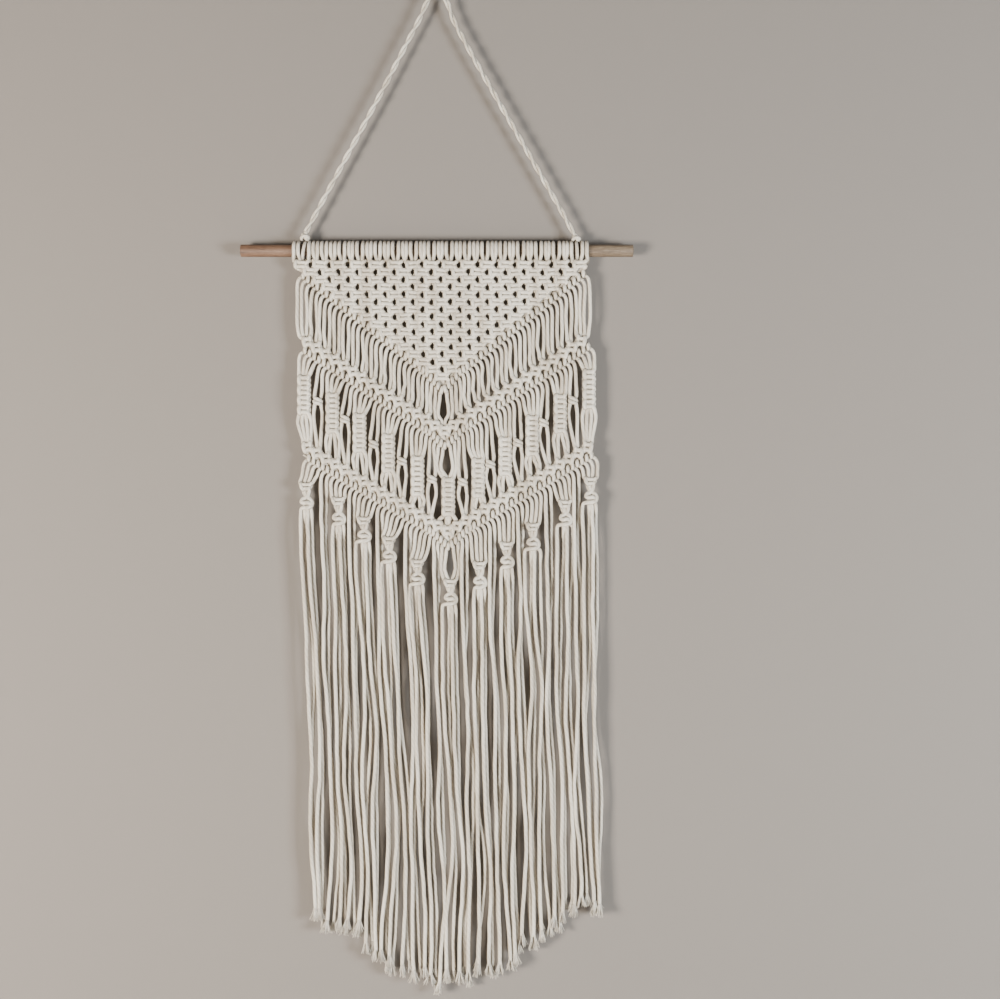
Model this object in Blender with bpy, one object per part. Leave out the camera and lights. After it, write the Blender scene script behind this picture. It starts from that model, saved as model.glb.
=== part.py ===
"""A knotted cotton wall hanging on a wooden dowel, hung from a loop of twisted cord.

Metres, +Z up, the front faces -Y. The origin is under the top of the hanging loop, where a hook
carries it. Sizes below are in millimetres; a drop is a distance below the dowel's axis.
"""

import math
import random

import bmesh
import bpy
from mathutils import Matrix

MM = 0.001
ROD_Z = -198.2  # the dowel's axis, below the top of the loop
ROD_LENGTH = 305.0
ROD_RADIUS = 4.75
ROD_SIDES = 24
GAP = 0.3  # between two pieces that touch
BORE_RADIUS, BORE_SIDES = 5.15, 16  # the cords' loops stand clear of the dowel by the gap
SEAM = 0.4  # upright, between the panel's lowest row of hitches and the fringe's own

STRANDS = 64
CORD_WIDTH = 3.0
CORD_BACK = 1.5
CORD_FRONT = -1.6
NIPPED, NIPPED_PITCH = 0.7, 2.3  # a strand's scale and spacing where a knot of four takes it in
PAIRED, PAIRED_PITCH = 0.9, 3.1  # the same where a knot of two does
PAIR_BULGE = 5.6  # how far two strands part again below their knot
INTO_KNOT, INTO_BRAID = 1.3, 1.2  # a strand's end runs this far inside
BEND_DROP = 9.5  # a strand leaves a bar slanting outwards and hangs straight from here on
BEND_SHIFT = 3.0
EDGE_BOW = 2.6
BOW_DROP = 10.0  # the outermost strands bow out, and pairs part, this far below their knot
TEARDROP = 2.1  # half the opening between the two middle strands under a bar

# The dowel's sleeve of cord loops: an outline round the dowel, and whether the grooves between
# the cords cut into that point.
SLEEVE_OUTLINE = (  # y, z from the dowel's axis, grooved
    (-2.2, -9.8, False),
    (-6.6, -4.9, True),
    (-8.1, 1.0, True),
    (-4.7, 6.8, False),
    (4.6, 6.8, False),
    (7.9, 1.0, False),
    (6.3, -4.9, False),
    (1.9, -9.8, False),
)
GROOVE = 0.15  # a groove's depth, as a share of that distance from the axis
SLEEVE_LEFT, SLEEVE_RIGHT = -112.0, 117.5
TIE_WIDTH = 4.1  # the slot in the sleeve that the loop's own tie takes
SLEEVE_GROUPS = (1, 30, 1)  # doubled cords left of the first tie, between the ties, and right

# The net: alternating square knots on a lattice whose rows each lose one knot.
NET_COLUMNS = 32
NET_ROWS = 17
NET_LEFT = -112.6
NET_PITCH = 7.2
NET_ROW = 5.79
NET_FIRST_ROW = 11.0
NET_TOP = 8.5
NET_LEAN = 0.0145
NET_FRONT, NET_KNOT_FRONT, NET_BACK = -1.9, -3.6, 1.4
HOLE_WIDTH, HOLE_HEIGHT = 3.2, 4.4
EDGE_PULL = 3.0  # the first row's ends are drawn in

# Bars of double half hitches, each a V: its ends and its lowest point.
BARS = {  # left x, left drop, middle x, middle drop, right x, right drop
    "upper": (-107.6, 16.0, 4.4, 104.8, 116.6, 15.6),
    "middle": (-108.6, 70.4, 5.4, 144.9, 120.6, 69.6),
    "lower": (-109.0, 152.6, 8.6, 222.7, 125.4, 152.6),
}
SINGLE_ROW = 5.8  # height of one row of hitches, measured upright
DOUBLE_ROW = 11.2
BAR_BACK, BAR_EDGE, BAR_RIDGE, BAR_GROOVE = 2.5, -2.0, -3.9, -2.7

# Spread of the 64 strands: middle x and width at each stage.
SPREAD = {
    "under upper bar": (5.0, 231.0),
    "middle bar": (5.7, 226.4),
    "under middle bar": (7.5, 233.6),
    "lower bar": (8.2, 231.8),
}

# Flat braids of square knots between the middle and lower bars.
SINNETS = (  # x, drop of its top, length
    (-103.2, 97.0, 30.7),
    (-81.1, 110.6, 31.6),
    (-60.1, 126.6, 30.4),
    (-37.7, 142.5, 30.0),
    (-15.1, 159.6, 31.5),
    (8.9, 176.4, 30.2),
    (32.2, 161.4, 30.7),
    (53.1, 144.9, 30.0),
    (74.1, 128.1, 31.7),
    (95.9, 111.6, 30.3),
    (118.3, 92.4, 30.8),
)
SINNET_RIDGES = 8
SINNET_BACK = 2.5
SINNET_HALF = 4.7

# Small knots of two strands, one between each pair of braids.
PAIR_KNOTS = (  # x, drop
    (-92.6, 117.6),
    (-71.6, 131.6),
    (-49.2, 151.1),
    (-27.2, 164.3),
    (-3.9, 178.3),
    (20.0, 180.4),
    (41.5, 166.6),
    (62.9, 150.0),
    (82.9, 134.4),
    (105.7, 117.0),
)

# Doubled knots of four strands under the lower bar: an upper knot, a waist and a lower knot.
CLUSTERS = (  # x, drop of the upper knot's middle, from there to the lower knot's middle
    (-101.7, 183.4, 12.7),
    (-76.6, 194.9, 13.6),
    (-56.8, 210.1, 11.8),
    (-37.2, 225.4, 12.4),
    (-15.2, 243.3, 11.8),
    (10.3, 258.5, 12.2),
    (33.1, 244.8, 13.1),
    (54.2, 229.7, 12.4),
    (74.4, 214.9, 13.0),
    (99.6, 197.1, 11.9),
    (119.4, 179.3, 12.6),
)
KNOT_PROFILE = (  # height from the knot's middle, half width, share of full depth
    (3.9, 4.0, 0.75),
    (0.0, 5.2, 1.0),
    (-3.9, 4.0, 0.75),
)
PAIR_KNOT_PROFILE = (
    (4.0, 3.5, 0.78),
    (0.0, 4.2, 1.0),
    (-4.0, 3.5, 0.78),
)
KNOT_OUTLINE = (  # across, to the back: shares of a knot's half width and of its depth
    (-0.7, 0.8),
    (0.7, 0.8),
    (1.0, -0.2),
    (0.0, -1.0),
    (-1.0, -0.2),
)
PAIR_DEPTH, UPPER_DEPTH, LOWER_DEPTH = 3.4, 4.0, 4.2

# The fringe.
FRINGE_ENDS = (  # x, drop of the longest ends there
    (-104.0, 522.0),
    (-71.6, 534.6),
    (-48.2, 553.3),
    (-28.8, 568.9),
    (8.6, 579.8),
    (29.6, 573.5),
    (56.8, 559.5),
    (76.2, 545.0),
    (100.0, 525.3),
    (132.0, 516.0),
)
FRINGE_DRIFT = (  # drop, middle x, width
    (230.0, 10.2, 233.0),
    (350.0, 14.3, 226.5),
    (490.0, 15.9, 229.5),
    (580.0, 15.9, 231.5),
)
FRINGE_LAYER = 1.85  # the strands hang in two layers, this far before and behind the middle
FRINGE_WAVE = 1.5
FRINGE_WAVES = 2.3
FRINGE_STEPS = 4
FRINGE_SCATTER = 13.0
WAVE_LOST = 0.55  # the share of the wave that is gone at the tips
TUFT_LENGTH, TUFT_SCALE = 8.0, 1.45

# The hanging loop: two cords twisted together, on a route from one tie to the other.
LOOP_ROUTE = (  # x, z
    (-101.8, -183.5),
    (-87.5, -157.0),
    (-73.1, -130.3),
    (-58.5, -103.4),
    (-44.3, -77.0),
    (-24.9, -39.6),
    (-12.6, -16.0),
    (-6.9, -3.6),
    (0.0, 2.2),
    (6.9, -3.6),
    (12.8, -18.7),
    (24.5, -41.0),
    (47.5, -81.5),
    (72.7, -125.3),
    (89.5, -154.6),
    (98.4, -170.2),
    (106.9, -186.0),
)
ROPE_HALF, ROPE_THIN = 2.15, 1.2
TWIST_LENGTH = 26.4
TWIST_STEPS = 6
TIES = (  # name, x of its ring, centre of the knot on top: x, z, half sizes: x, y, z
    ("hanger_tie_left", -103.05, -102.5, -187.6, 3.6, 3.6, 3.6),
    ("hanger_tie_right", 108.55, 108.4, -188.7, 4.2, 3.6, 2.7),
)
KNOT_SWELL = 1.1  # its coarse ball's points stand out this much further
TIE_CORD = 1.4
TIE_STEPS = 12

COTTON = (0.72, 0.68, 0.60, 1.0)
WOOD = (0.42, 0.27, 0.17, 1.0)


def material(name, colour, roughness):
    made = bpy.data.materials.new(name)
    made.use_nodes = True
    shader = made.node_tree.nodes["Principled BSDF"]
    shader.inputs["Base Color"].default_value = colour
    shader.inputs["Roughness"].default_value = roughness
    shader.inputs["Metallic"].default_value = 0.0
    return made


def collection(name):
    made = bpy.data.collections.new(name)
    bpy.context.scene.collection.children.link(made)
    return made


def add_object(name, bm, home, finish):
    """Turns a bmesh in millimetres into an object in metres, with its faces pointing outwards."""
    bmesh.ops.recalc_face_normals(bm, faces=bm.faces)
    bmesh.ops.triangulate(bm, faces=bm.faces)
    bmesh.ops.transform(bm, matrix=Matrix.Scale(MM, 4), verts=bm.verts)
    mesh = bpy.data.meshes.new(name)
    bm.to_mesh(mesh)
    bm.free()
    mesh.materials.append(finish)
    made = bpy.data.objects.new(name, mesh)
    home.objects.link(made)
    return made


def helper(name, bm, home, finish):
    made = add_object(name, bm, home, finish)
    made.hide_render = True
    made.display_type = "WIRE"
    return made


def combine(target, other, operation):
    step = target.modifiers.new(f"{operation.title()} {other.name}", "BOOLEAN")
    step.operation = operation
    step.object = other
    step.solver = "EXACT"


def loft(bm, sections):
    """Joins closed sections of equal point counts into one closed solid."""
    rings = [[bm.verts.new(point) for point in section] for section in sections]
    for low, high in zip(rings, rings[1:]):
        for a, b, c, d in zip(low, low[1:] + low[:1], high[1:] + high[:1], high):
            bm.faces.new((a, b, c, d))
    bm.faces.new(rings[0])
    bm.faces.new(rings[-1])


def read_table(rows, at, column):
    """A table's column, read off between its rows; the first column is what it is read by."""
    if at <= rows[0][0]:
        return rows[0][column]
    for low, high in zip(rows, rows[1:]):
        if at <= high[0]:
            share = (at - low[0]) / (high[0] - low[0])
            return low[column] + share * (high[column] - low[column])
    return rows[-1][column]


def strand_x(strand, stage):
    middle, width = SPREAD[stage]
    return middle + ((strand + 0.5) / STRANDS - 0.5) * width


def bar_drop(bar, x):
    left, left_drop, middle, middle_drop, right, right_drop = BARS[bar]
    if x < middle:
        return middle_drop + (x - middle) / (left - middle) * (left_drop - middle_drop)
    return middle_drop + (x - middle) / (right - middle) * (right_drop - middle_drop)


def strand_section(x, drop, scale=1.0, y=0.0):
    """Three points round a strand; one scale for width and depth keeps a taper's faces flat."""
    z = ROD_Z - drop
    half = scale * CORD_WIDTH / 2
    return (
        (x - half, y + scale * CORD_BACK, z),
        (x + half, y + scale * CORD_BACK, z),
        (x, y + scale * CORD_FRONT, z),
    )


def from_middle(strand):
    """-1 on the left half or 1 on the right, and the count of strands between here and the middle."""
    side = -1 if strand < STRANDS / 2 else 1
    return side, abs(strand + 0.5 - STRANDS / 2) - 0.5


def hanging_x(strand, stage):
    """Where a strand hangs under a bar: the middle ones part round a teardrop."""
    side, count = from_middle(strand)
    return strand_x(strand, stage) + side * (TEARDROP - CORD_WIDTH / 2) * max(0, 1 - count / 6)


def leaving_bar(strand, bar, stage, below):
    """The first two sections of a strand that leaves a bar slanting outwards."""
    side, count = from_middle(strand)
    hang = hanging_x(strand, stage)
    start = hang - side * BEND_SHIFT * min(1, count / 5)
    drop = bar_drop(bar, start) + below
    return [strand_section(start, drop), strand_section(hang, drop + BEND_DROP)]


def sleeve(bm):
    """Cord loops round the dowel, side by side, with a slot for each of the hanger's ties."""
    width = (SLEEVE_RIGHT - SLEEVE_LEFT - 2 * TIE_WIDTH) / (STRANDS / 2)
    x = SLEEVE_LEFT
    for cords in SLEEVE_GROUPS:
        sections = []
        for step in range(2 * cords + 1):
            depth = 0 if step % 2 else GROOVE
            sections.append(
                [
                    (x + step * width / 2, y * scale, ROD_Z + z * scale)
                    for y, z, grooved in SLEEVE_OUTLINE
                    for scale in [1 - depth if grooved else 1]
                ]
            )
        loft(bm, sections)
        x += cords * width + TIE_WIDTH


def rod(bm, radius, length, sides):
    turned = Matrix.Translation((0, 0, ROD_Z)) @ Matrix.Rotation(math.pi / 2, 4, "Y")
    bmesh.ops.create_cone(
        bm,
        cap_ends=True,
        segments=sides,
        radius1=radius,
        radius2=radius,
        depth=length,
        matrix=turned,
    )


def net(bm):
    """A slab whose lattice holds a raised knot and an open diamond in turn."""
    bmesh.ops.create_grid(bm, x_segments=NET_COLUMNS, y_segments=NET_ROWS, size=1)
    spare, holes, knots = [], [], set()
    for vert in bm.verts:
        column = round((vert.co.x + 1) / 2 * NET_COLUMNS)
        row = round((1 - vert.co.y) / 2 * NET_ROWS)
        vert.co = (column, -row, 0)
        if not row - 1 <= column <= NET_COLUMNS + 1 - row:
            spare.append(vert)
        elif (column + row) % 2 == 0 and row:
            knots.add(vert)
        elif row and row < column < NET_COLUMNS - row:
            holes.append(vert)
    bmesh.ops.delete(bm, geom=spare, context="VERTS")
    cut = bmesh.ops.bevel(
        bm,
        geom=holes,
        offset=0.25,
        affect="VERTICES",
        segments=1,
        profile=0.5,
        material=-1,
    )
    bmesh.ops.delete(bm, geom=cut["faces"], context="FACES")
    for knot in knots:  # square each cell's band off from its two knots
        for face in knot.link_faces[:]:
            if len(face.verts) > 3:
                corner = next(loop for loop in face.loops if loop.vert is knot)
                ends = corner.link_loop_prev.vert, corner.link_loop_next.vert
                bmesh.utils.face_split(face, *ends)
    for vert in bm.verts:
        place_in_net(vert, vert in knots)
    back = bmesh.ops.extrude_face_region(bm, geom=bm.faces[:])
    for vert in back["geom"]:
        if isinstance(vert, bmesh.types.BMVert):
            vert.co.y = NET_BACK


def place_in_net(vert, knot):
    column, row = round(vert.co.x), round(-vert.co.y)
    across, down = vert.co.x - column, -vert.co.y - row
    x = NET_LEFT + column * NET_PITCH
    drop = NET_FIRST_ROW + (row - 1) * NET_ROW if row else NET_TOP
    if row == 1 and column in (0, NET_COLUMNS):
        x += EDGE_PULL if column == 0 else -EDGE_PULL
    if abs(across) > 0.1:
        x += math.copysign(HOLE_WIDTH / 2, across)
    if abs(down) > 0.1:
        drop += math.copysign(HOLE_HEIGHT / 2, down)
    vert.co = (x + NET_LEAN * drop, NET_KNOT_FRONT if knot else NET_FRONT, ROD_Z - drop)


def bar(bm, name, height, offset, rows):
    """A V of hitches, ridged once for each pair of strands, its middle moved down by the offset."""
    left, _, middle, _, right, _ = BARS[name]
    sections = []
    for step in range(STRANDS + 1):
        arm = 2 * step / STRANDS
        x = left + arm * (middle - left) if arm <= 1 else middle + (arm - 1) * (right - middle)
        z = ROD_Z - bar_drop(name, x) - offset
        front = BAR_RIDGE if step % 2 else BAR_GROOVE
        outline = [(BAR_BACK, 0.5), (BAR_BACK, -0.5), (front, -0.5)]
        if rows == 2:
            outline.append((BAR_EDGE, 0.0))
        outline.append((front, 0.5))
        sections.append([(x, y, z + height * share) for y, share in outline])
    loft(bm, sections)


def sinnet(bm, x, top, length):
    sections = []
    for step in range(2 * SINNET_RIDGES + 1):
        front = BAR_RIDGE if step % 2 else BAR_GROOVE
        z = ROD_Z - top - length * step / (2 * SINNET_RIDGES)
        sections.append(
            [
                (x - SINNET_HALF, SINNET_BACK, z),
                (x + SINNET_HALF, SINNET_BACK, z),
                (x + SINNET_HALF, front, z),
                (x - SINNET_HALF, front, z),
            ]
        )
    loft(bm, sections)


def knot_sections(x, drop, profile, depth):
    """Five-sided sections of one knot, from its top down."""
    sections = []
    for height, half, share in profile:
        z = ROD_Z - drop + height
        sections.append([(x + half * a, depth * share * b, z) for a, b in KNOT_OUTLINE])
    return sections


def in_group(strand):
    """The braid or cluster, or the pair, that a strand belongs to, and its place there."""
    group, place = divmod(strand, 6)
    return ("four", group, place) if place < 4 else ("pair", group, place - 4)


def strands_to_knots(bm, strand):
    """A strand under the middle bar: into its braid or pair knot, and out to the lower bar."""
    kind, group, place = in_group(strand)
    stage = "under middle bar"
    top = leaving_bar(strand, "middle", stage, DOUBLE_ROW / 6)
    end_x = strand_x(strand, "lower bar")
    end = strand_section(end_x, bar_drop("lower", end_x) - SINGLE_ROW / 2)
    side, _ = from_middle(strand)
    if kind == "four":
        x, start, length = SINNETS[group]
        inner = x + (place - 1.5) * NIPPED_PITCH
        loft(bm, top + [strand_section(inner, start + INTO_BRAID, NIPPED)])
        drop = start + length
        bottom = [strand_section(inner, drop - INTO_BRAID, NIPPED)]
        if strand in (0, STRANDS - 1):
            bottom.append(strand_section(end_x + side * EDGE_BOW, drop + BOW_DROP))
        loft(bm, bottom + [end])
    else:
        x, middle = PAIR_KNOTS[group]
        inner = x + (place - 0.5) * PAIRED_PITCH
        reach = PAIR_KNOT_PROFILE[0][0] - INTO_KNOT
        loft(bm, top + [strand_section(inner, middle - reach, PAIRED)])
        bulge = strand_section(x + (place - 0.5) * PAIR_BULGE, middle + BOW_DROP)
        loft(bm, [strand_section(inner, middle + reach, PAIRED), bulge, end])


def fringe_strand(bm, strand, dice):
    """A strand under the lower bar, through its cluster if it has one, down to its tuft."""
    kind, group, place = in_group(strand)
    begin_x = strand_x(strand, "lower bar")
    begin = bar_drop("lower", begin_x) + SINGLE_ROW / 2
    layer = FRINGE_LAYER if strand % 2 else -FRINGE_LAYER
    if kind == "four":
        x, upper, apart = CLUSTERS[group]
        inner = x + (place - 1.5) * NIPPED_PITCH
        reach = KNOT_PROFILE[0][0] - INTO_KNOT
        top = strand_section(begin_x, begin)
        loft(bm, [top, strand_section(inner, upper - reach, NIPPED)])
        drop = upper + apart + reach
        path = [strand_section(inner, drop, NIPPED, layer / 2)]
    else:
        drop = begin
        path = [strand_section(begin_x, drop, 1.0, layer / 2)]
    share = (strand + 0.5) / STRANDS - 0.5
    lowest = FRINGE_DRIFT[-1]
    rest = lowest[1] + share * lowest[2]
    end = read_table(FRINGE_ENDS, rest, 1) - dice.uniform(0, FRINGE_SCATTER) - TUFT_LENGTH
    phase = dice.uniform(0, 2 * math.pi)
    for step in range(FRINGE_STEPS):
        along = (step + 0.5) / (FRINGE_STEPS - 0.5)
        at = drop + (end - drop) * along
        x = read_table(FRINGE_DRIFT, at, 1) + share * read_table(FRINGE_DRIFT, at, 2)
        swing = FRINGE_WAVE * (1 - WAVE_LOST * along) * min(1, 3 * along)
        wave = swing * math.sin(phase + 2 * math.pi * FRINGE_WAVES * along)
        path.append(strand_section(x + wave, at, 1.0, layer))
    path.append(strand_section(x + wave, end + TUFT_LENGTH, TUFT_SCALE, layer))
    loft(bm, path)


def smooth_route(rows, spacing):
    """Evenly spaced points of a smooth curve through a route's own points."""
    fine = []
    for index in range(len(rows) - 1):
        before = rows[max(index - 1, 0)]
        start, end = rows[index], rows[index + 1]
        after = rows[min(index + 2, len(rows) - 1)]
        for step in range(24):
            t = step / 24
            fine.append(
                [
                    0.5 * (2 * b + (c - a) * t + (2 * a - 5 * b + 4 * c - d) * t**2)
                    + 0.5 * (3 * b - a - 3 * c + d) * t**3
                    for a, b, c, d in zip(before, start, end, after)
                ]
            )
    fine.append(list(rows[-1]))
    lengths = [0.0]
    for low, high in zip(fine, fine[1:]):
        lengths.append(lengths[-1] + math.dist(low, high))
    count = round(lengths[-1] / spacing)
    table = [(at, *point) for at, point in zip(lengths, fine)]
    return [
        [read_table(table, lengths[-1] * step / count, column) for column in (1, 2)]
        for step in range(count + 1)
    ]


def rope(bm):
    """Two twisted cords: a flat lozenge that turns as it follows the route."""
    route = smooth_route(LOOP_ROUTE, TWIST_LENGTH / TWIST_STEPS)
    sections = []
    for index, (x, z) in enumerate(route):
        before, after = route[max(index - 1, 0)], route[min(index + 1, len(route) - 1)]
        along_x, along_z = after[0] - before[0], after[1] - before[1]
        length = math.hypot(along_x, along_z)
        across_x, across_z = along_z / length, -along_x / length
        turn = 2 * math.pi * index / TWIST_STEPS
        section = []
        for half, angle in ((ROPE_HALF, 0), (ROPE_THIN, 0.5), (ROPE_HALF, 1), (ROPE_THIN, 1.5)):
            across = half * math.cos(turn + math.pi * angle)
            depth = half * math.sin(turn + math.pi * angle)
            section.append((x + across * across_x, depth, z + across * across_z))
        sections.append(section)
    loft(bm, sections)


def add_tie(home, tools, finish, name, ring_x, x, z, half_x, half_y, half_z):
    """A ring of the loop's cord round the dowel, with the knot that closes it on top."""
    bm = bmesh.new()
    centre = (ROD_RADIUS + GAP) / math.cos(math.pi / TIE_STEPS) + TIE_CORD
    rings = []
    for step in range(TIE_STEPS):
        turn = 2 * math.pi * (step + 0.5) / TIE_STEPS
        ring = []
        for side in range(4):
            angle = math.pi * side / 2
            out = centre + TIE_CORD * math.cos(angle)
            across = ring_x + TIE_CORD * math.sin(angle)
            ring.append(bm.verts.new((across, out * math.sin(turn), ROD_Z + out * math.cos(turn))))
        rings.append(ring)
    for low, high in zip(rings, rings[1:] + rings[:1]):
        for a, b, c, d in zip(low, low[1:] + low[:1], high[1:] + high[:1], high):
            bm.faces.new((a, b, c, d))
    tie = add_object(name, bm, home, finish)
    bm = bmesh.new()
    place = Matrix.Translation((x, 0, z)) @ Matrix.Diagonal((half_x, half_y, half_z, 1))
    bmesh.ops.create_icosphere(bm, subdivisions=1, radius=KNOT_SWELL, matrix=place)
    combine(tie, helper(name + "_knot", bm, tools, finish), "UNION")


def main():
    for old in bpy.data.objects[:]:
        bpy.data.objects.remove(old)
    home = collection("macrame_wall_hanging")
    tools = collection("cutters")
    cotton = material("cotton cord", COTTON, 0.9)
    wood = material("dowel wood", WOOD, 0.7)

    bm = bmesh.new()
    rod(bm, ROD_RADIUS, ROD_LENGTH, ROD_SIDES)
    add_object("dowel", bm, home, wood)

    bm = bmesh.new()
    rope(bm)
    add_object("hanger_cord", bm, home, cotton)
    for row in TIES:
        add_tie(home, tools, cotton, *row)

    bm = bmesh.new()
    net(bm)
    panel = add_object("knotted_panel", bm, home, cotton)
    bm = bmesh.new()
    sleeve(bm)
    combine(panel, helper("sleeve", bm, tools, cotton), "UNION")
    bm = bmesh.new()
    rod(bm, BORE_RADIUS, ROD_LENGTH, BORE_SIDES)
    combine(panel, helper("sleeve_bore", bm, tools, cotton), "DIFFERENCE")
    bm = bmesh.new()
    bar(bm, "upper", SINGLE_ROW, 0.0, 1)
    bar(bm, "middle", DOUBLE_ROW, 0.0, 2)
    bar(bm, "lower", SINGLE_ROW, -(SINGLE_ROW + SEAM) / 2, 1)
    for row in SINNETS:
        sinnet(bm, *row)
    for x, drop in PAIR_KNOTS:
        loft(bm, knot_sections(x, drop, PAIR_KNOT_PROFILE, PAIR_DEPTH))
    combine(panel, helper("bars_and_knots", bm, tools, cotton), "UNION")
    bm = bmesh.new()
    for strand in range(STRANDS):
        top = leaving_bar(strand, "upper", "under upper bar", 0.0)
        end_x = strand_x(strand, "middle bar")
        loft(bm, top + [strand_section(end_x, bar_drop("middle", end_x) - DOUBLE_ROW / 6)])
        strands_to_knots(bm, strand)
    combine(panel, helper("panel_strands", bm, tools, cotton), "UNION")

    bm = bmesh.new()
    bar(bm, "lower", SINGLE_ROW, (SINGLE_ROW + SEAM) / 2, 1)
    fringe = add_object("fringe", bm, home, cotton)
    bm = bmesh.new()
    for x, drop, apart in CLUSTERS:
        upper = knot_sections(x, drop, KNOT_PROFILE, UPPER_DEPTH)
        lower = knot_sections(x, drop + apart, KNOT_PROFILE, LOWER_DEPTH)
        loft(bm, upper + lower)
    combine(fringe, helper("clusters", bm, tools, cotton), "UNION")
    bm = bmesh.new()
    dice = random.Random(7)
    for strand in range(STRANDS):
        fringe_strand(bm, strand, dice)
    combine(fringe, helper("fringe_strands", bm, tools, cotton), "UNION")


main()
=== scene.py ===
import math
import random

import bmesh
import bpy
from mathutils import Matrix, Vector


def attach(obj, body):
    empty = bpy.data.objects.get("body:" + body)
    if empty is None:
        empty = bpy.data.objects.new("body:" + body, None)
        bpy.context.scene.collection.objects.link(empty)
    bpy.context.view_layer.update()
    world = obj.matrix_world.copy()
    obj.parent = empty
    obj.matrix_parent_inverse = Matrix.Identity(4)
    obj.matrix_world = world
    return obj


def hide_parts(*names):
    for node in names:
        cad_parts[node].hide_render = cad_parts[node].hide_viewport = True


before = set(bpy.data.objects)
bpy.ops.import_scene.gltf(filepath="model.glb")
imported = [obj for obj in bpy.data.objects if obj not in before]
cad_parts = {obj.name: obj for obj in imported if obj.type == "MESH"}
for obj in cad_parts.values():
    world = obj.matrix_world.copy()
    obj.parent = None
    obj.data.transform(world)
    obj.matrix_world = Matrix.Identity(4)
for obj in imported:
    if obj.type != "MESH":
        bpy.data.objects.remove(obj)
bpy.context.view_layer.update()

# Lengths are in millimetres, but the camera, the room and the lights are in metres. A cord's point
# is (across, back, drop, radius), with the drop taken downwards from the middle of the dowel.
mm = 0.001
rodZ = -198.2
strands = 64
middle = strands // 2


def say(words):
    print("scene:", words, flush=True)


# The camera looks straight on.
camera = {"x": 0.049, "z": -0.3917, "away": 1.1, "width": 0.778, "sensor": 36.0}
cameraData = bpy.data.cameras.new("camera")
cameraData.sensor_width = camera["sensor"]
cameraData.lens = camera["sensor"] * camera["away"] / camera["width"]
cameraObject = bpy.data.objects.new("camera", cameraData)
bpy.context.scene.collection.objects.link(cameraObject)
cameraObject.location = (camera["x"], -camera["away"], camera["z"])
cameraObject.rotation_euler = (math.pi / 2, 0, 0)
bpy.context.scene.camera = cameraObject


# Short calls for a material's nodes.
class Nodes:
    def __init__(self, name):
        self.material = bpy.data.materials.new(name)
        self.material.use_nodes = True
        self.tree = self.material.node_tree
        self.shader = self.tree.nodes["Principled BSDF"]

    def add(self, kind, inputs=None, **settings):
        node = self.tree.nodes.new("ShaderNode" + kind)
        for key, value in settings.items():
            setattr(node, key, value)
        for key, value in (inputs or {}).items():
            if isinstance(value, bpy.types.NodeSocket):
                self.tree.links.new(value, node.inputs[key])
            else:
                node.inputs[key].default_value = value
        return node

    def math(self, operation, a, b=0.0):
        return self.add("Math", {0: a, 1: b}, operation=operation).outputs[0]

    def weigh(self, *parts):
        total = None
        for value, weight in parts:
            part = self.math("MULTIPLY", value, weight)
            total = part if total is None else self.math("ADD", total, part)
        return total

    def ramp(self, factor, stops):
        node = self.add("ValToRGB", {0: factor})
        ramp = node.color_ramp
        while len(ramp.elements) < len(stops):
            ramp.elements.new(1.0)
        for element, (at, colour) in zip(ramp.elements, stops):
            element.position = at
            element.color = (*colour, 1.0)
        return node.outputs[0]

    def finish(self, colour, bump, surface):
        self.tree.links.new(colour, self.shader.inputs["Base Color"])
        self.tree.links.new(bump, self.shader.inputs["Normal"])
        for socket, value in surface.items():
            self.shader.inputs[socket].default_value = value
        return self.material


# Cotton: plies wind round the cord with finer fibres on them, with painted shade in their grooves;
# fuzz breaks them up, long patches vary the tone, and painted shade makes the cord's sides darker
# than its front and back.
cottonLook = {
    "fuzz": {"Scale": 900.0, "Detail": 3.0},
    "patch": {"Scale": 170.0, "Detail": 2.0},
    "stretch": (1.0, 1.0, 0.12),
    "blur": 0.5,
    "fibres": 5,
    "height": {"ply": 0.5, "fibre": 0.28, "fuzz": 0.9},
    "shade": {"ply": 0.10, "fibre": 0.08, "patch": 1.6, "less": 0.3},
    "tones": (0.2, 0.7),
    # Painted shade: a cord's sides go dark where they face across, and stay plain where they face front
    # or back.
    "sides": [(0.05, (0.24, 0.205, 0.165)), (0.66, (1.0, 1.0, 1.0))],
    "bump": {"Distance": 0.0002, "Strength": 0.8},
    "surface": {
        "Roughness": 0.88,
        "Sheen Weight": 0.08,
        "Sheen Roughness": 0.45,
        "Specular IOR Level": 0.2,
    },
}
cordLook = {"plies": 3, "turns": 62.0, "light": (0.72, 0.665, 0.56), "dark": (0.52, 0.455, 0.36)}
frayLook = {"plies": 2, "turns": 40.0, "light": (0.74, 0.68, 0.575), "dark": (0.60, 0.54, 0.445)}


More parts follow.
